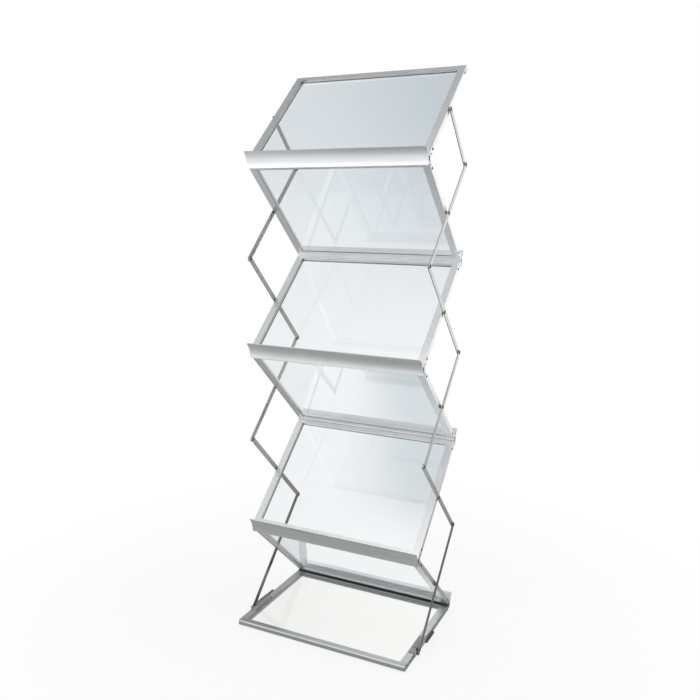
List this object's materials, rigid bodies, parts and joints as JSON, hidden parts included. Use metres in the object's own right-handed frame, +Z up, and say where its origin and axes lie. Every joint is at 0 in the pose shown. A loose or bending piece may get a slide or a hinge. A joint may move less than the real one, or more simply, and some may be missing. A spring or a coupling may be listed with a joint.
{
  "type": "folding brochure stand",
  "caption": "Free-standing zig-zag display stand of clear sheets in metal frames, hinged front and rear, with a curved gutter on each panel for brochures; folds flat on scissor arms.",
  "frame": {"origin": "on the floor, under the middle of the stand's outline", "axes": "+X to the right as seen from the front, +Y from front to rear, +Z up"},
  "size_m": [0.4952, 0.3552, 1.4477],
  "materials": {
    "satin_aluminium": "satin anodised extrusion",
    "bar_aluminium": "satin anodised flat bar",
    "clear_acrylic": "clear cast acrylic with polished faces",
    "steel": "zinc-plated turned steel",
    "rubber": "moulded rubber",
    "grey_plastic": "moulded nylon",
    "black_plastic": "moulded nylon"
  },
  "bodies": {
    "base": {"base_front_rail": "satin_aluminium", "base_rear_rail": "satin_aluminium", "base_left_rail": "satin_aluminium", "base_right_rail": "satin_aluminium", "base_sheet": "clear_acrylic", "base_fixings": "steel", "base_pads": "rubber"},
    "panel_1": {"panel_1_gutter_rail": "satin_aluminium", "panel_1_top_rail": "satin_aluminium", "panel_1_left_rail": "satin_aluminium", "panel_1_right_rail": "satin_aluminium", "panel_1_sheet": "clear_acrylic", "panel_1_fixings": "steel"},
    "panel_2": {"panel_2_gutter_rail": "satin_aluminium", "panel_2_top_rail": "satin_aluminium", "panel_2_left_rail": "satin_aluminium", "panel_2_right_rail": "satin_aluminium", "panel_2_sheet": "clear_acrylic", "panel_2_fixings": "steel"},
    "panel_3": {"panel_3_gutter_rail": "satin_aluminium", "panel_3_top_rail": "satin_aluminium", "panel_3_left_rail": "satin_aluminium", "panel_3_right_rail": "satin_aluminium", "panel_3_sheet": "clear_acrylic", "panel_3_fixings": "steel"},
    "panel_4": {"panel_4_gutter_rail": "satin_aluminium", "panel_4_top_rail": "satin_aluminium", "panel_4_left_rail": "satin_aluminium", "panel_4_right_rail": "satin_aluminium", "panel_4_sheet": "clear_acrylic", "panel_4_fixings": "steel"},
    "panel_5": {"panel_5_gutter_rail": "satin_aluminium", "panel_5_top_rail": "satin_aluminium", "panel_5_left_rail": "satin_aluminium", "panel_5_right_rail": "satin_aluminium", "panel_5_sheet": "clear_acrylic", "panel_5_fixings": "steel"},
    "panel_6": {"panel_6_gutter_rail": "satin_aluminium", "panel_6_top_rail": "satin_aluminium", "panel_6_left_rail": "satin_aluminium", "panel_6_right_rail": "satin_aluminium", "panel_6_sheet": "clear_acrylic", "panel_6_fixings": "steel"},
    "arms_1": {"arms_1": "bar_aluminium", "elbow_rivets_1": "steel"},
    "arms_2": {"arms_2": "bar_aluminium", "elbow_rivets_2": "steel"},
    "arms_3": {"arms_3": "bar_aluminium", "elbow_rivets_3": "steel"},
    "arms_4": {"arms_4": "bar_aluminium", "elbow_rivets_4": "steel"},
    "arms_5": {"arms_5": "bar_aluminium", "elbow_rivets_5": "steel"},
    "arms_6": {"arms_6": "bar_aluminium"},
    "shoes": {"left_shoe": "grey_plastic", "right_shoe": "grey_plastic", "foot_rivets": "steel"},
    "lever_left": {"left_lever": "black_plastic"},
    "lever_right": {"right_lever": "black_plastic"}
  },
  "joints": [
    {"name": "fold", "type": "hinge", "parent": "base", "child": "panel_1", "pos_m": [0, 0.15036, 0.0165], "axis": [1, 0, 0], "range_deg": [0, 40]},
    {"name": "panel_2_hinge", "type": "hinge", "parent": "panel_1", "child": "panel_2", "pos_m": [0, -0.09172, 0.25523], "axis": [1, 0, 0], "range_deg": [-80, 0]},
    {"name": "panel_3_hinge", "type": "hinge", "parent": "panel_2", "child": "panel_3", "pos_m": [0, 0.15036, 0.49396], "axis": [1, 0, 0], "range_deg": [0, 80]},
    {"name": "panel_4_hinge", "type": "hinge", "parent": "panel_3", "child": "panel_4", "pos_m": [0, -0.09172, 0.7327], "axis": [1, 0, 0], "range_deg": [-80, 0]},
    {"name": "panel_5_hinge", "type": "hinge", "parent": "panel_4", "child": "panel_5", "pos_m": [0, 0.15036, 0.97143], "axis": [1, 0, 0], "range_deg": [0, 80]},
    {"name": "panel_6_hinge", "type": "hinge", "parent": "panel_5", "child": "panel_6", "pos_m": [0, -0.09172, 1.21016], "axis": [1, 0, 0], "range_deg": [-80, 0]},
    {"name": "arms_1_pivot", "type": "hinge", "parent": "panel_1", "child": "arms_1", "pos_m": [0, 0.02932, 0.13587], "axis": [1, 0, 0], "range_deg": [-80, 0]},
    {"name": "arms_2_pivot", "type": "hinge", "parent": "panel_2", "child": "arms_2", "pos_m": [0, 0.02932, 0.3746], "axis": [1, 0, 0], "range_deg": [0, 80]},
    {"name": "arms_3_pivot", "type": "hinge", "parent": "panel_3", "child": "arms_3", "pos_m": [0, 0.02932, 0.61333], "axis": [1, 0, 0], "range_deg": [-80, 0]},
    {"name": "arms_4_pivot", "type": "hinge", "parent": "panel_4", "child": "arms_4", "pos_m": [0, 0.02932, 0.85206], "axis": [1, 0, 0], "range_deg": [0, 80]},
    {"name": "arms_5_pivot", "type": "hinge", "parent": "panel_5", "child": "arms_5", "pos_m": [0, 0.02932, 1.09079], "axis": [1, 0, 0], "range_deg": [-80, 0]},
    {"name": "arms_6_pivot", "type": "hinge", "parent": "panel_6", "child": "arms_6", "pos_m": [0, 0.02932, 1.32953], "axis": [1, 0, 0], "range_deg": [0, 80]},
    {"name": "shoe_pivot", "type": "hinge", "parent": "arms_1", "child": "shoes", "pos_m": [0, -0.09172, 0.0165], "axis": [1, 0, 0], "range_deg": [0, 40]},
    {"name": "left_lever_pivot", "type": "hinge", "parent": "shoes", "child": "lever_left", "pos_m": [-0.2443, -0.03972, 0.009], "axis": [0, 0, 1], "range_deg": [0, 90]},
    {"name": "right_lever_pivot", "type": "hinge", "parent": "shoes", "child": "lever_right", "pos_m": [0.2443, -0.03972, 0.009], "axis": [0, 0, -1], "range_deg": [0, 90]}
  ],
  "couplings": [
    {"joint": "panel_2_hinge", "follows": "fold", "ratio": -2},
    {"joint": "panel_3_hinge", "follows": "fold", "ratio": 2},
    {"joint": "panel_4_hinge", "follows": "fold", "ratio": -2},
    {"joint": "panel_5_hinge", "follows": "fold", "ratio": 2},
    {"joint": "panel_6_hinge", "follows": "fold", "ratio": -2},
    {"joint": "arms_1_pivot", "follows": "fold", "ratio": -2},
    {"joint": "arms_2_pivot", "follows": "fold", "ratio": 2},
    {"joint": "arms_3_pivot", "follows": "fold", "ratio": -2},
    {"joint": "arms_4_pivot", "follows": "fold", "ratio": 2},
    {"joint": "arms_5_pivot", "follows": "fold", "ratio": -2},
    {"joint": "arms_6_pivot", "follows": "fold", "ratio": 2},
    {"joint": "shoe_pivot", "follows": "fold", "ratio": 1}
  ]
}
